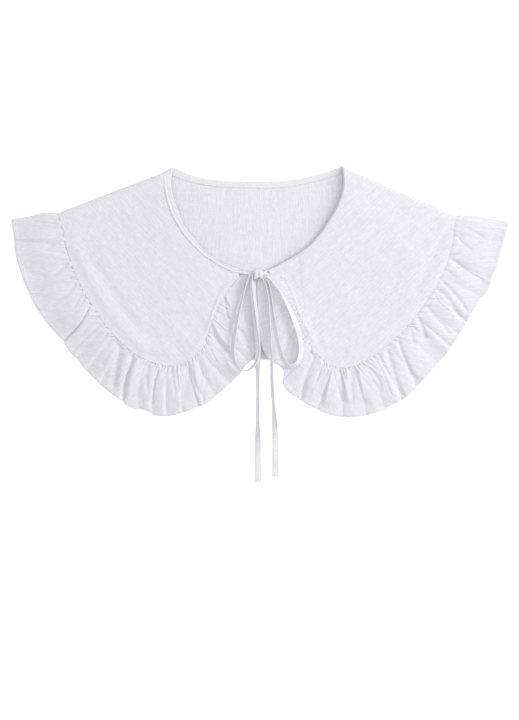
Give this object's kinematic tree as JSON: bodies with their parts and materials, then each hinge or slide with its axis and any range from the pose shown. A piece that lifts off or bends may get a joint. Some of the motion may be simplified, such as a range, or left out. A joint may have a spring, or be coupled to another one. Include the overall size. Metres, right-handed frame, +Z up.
{
  "type": "detachable collar",
  "caption": "Flat-laid detachable collar with rounded fronts folded over the back, a gathered ruffle along its outer edge and a narrow tie in a bow at the neck.",
  "frame": {"origin": "centre of the collar's outline on the surface that it lies on, without the tie", "axes": "+X to the right as seen from above, +Y towards the nape edge, +Z up from the surface"},
  "size_m": [0.4978, 0.3171, 0.0152],
  "materials": {
    "panel_cotton": "matte slubbed plain weave",
    "binding_cotton": "matte bias-cut plain weave",
    "ruffle_cotton": "matte gathered plain weave",
    "tie_cotton": "matte folded bias strip"
  },
  "bodies": {
    "root": {"collar_body": "panel_cotton", "neck_binding": "binding_cotton", "ruffle_left": "ruffle_cotton", "ruffle_right": "ruffle_cotton", "ruffle_back": "ruffle_cotton", "bow_knot": "tie_cotton", "bow_loop_left": "tie_cotton", "bow_loop_right": "tie_cotton", "tie_end_left": "tie_cotton", "tie_end_right": "tie_cotton"}
  },
  "joints": []
}
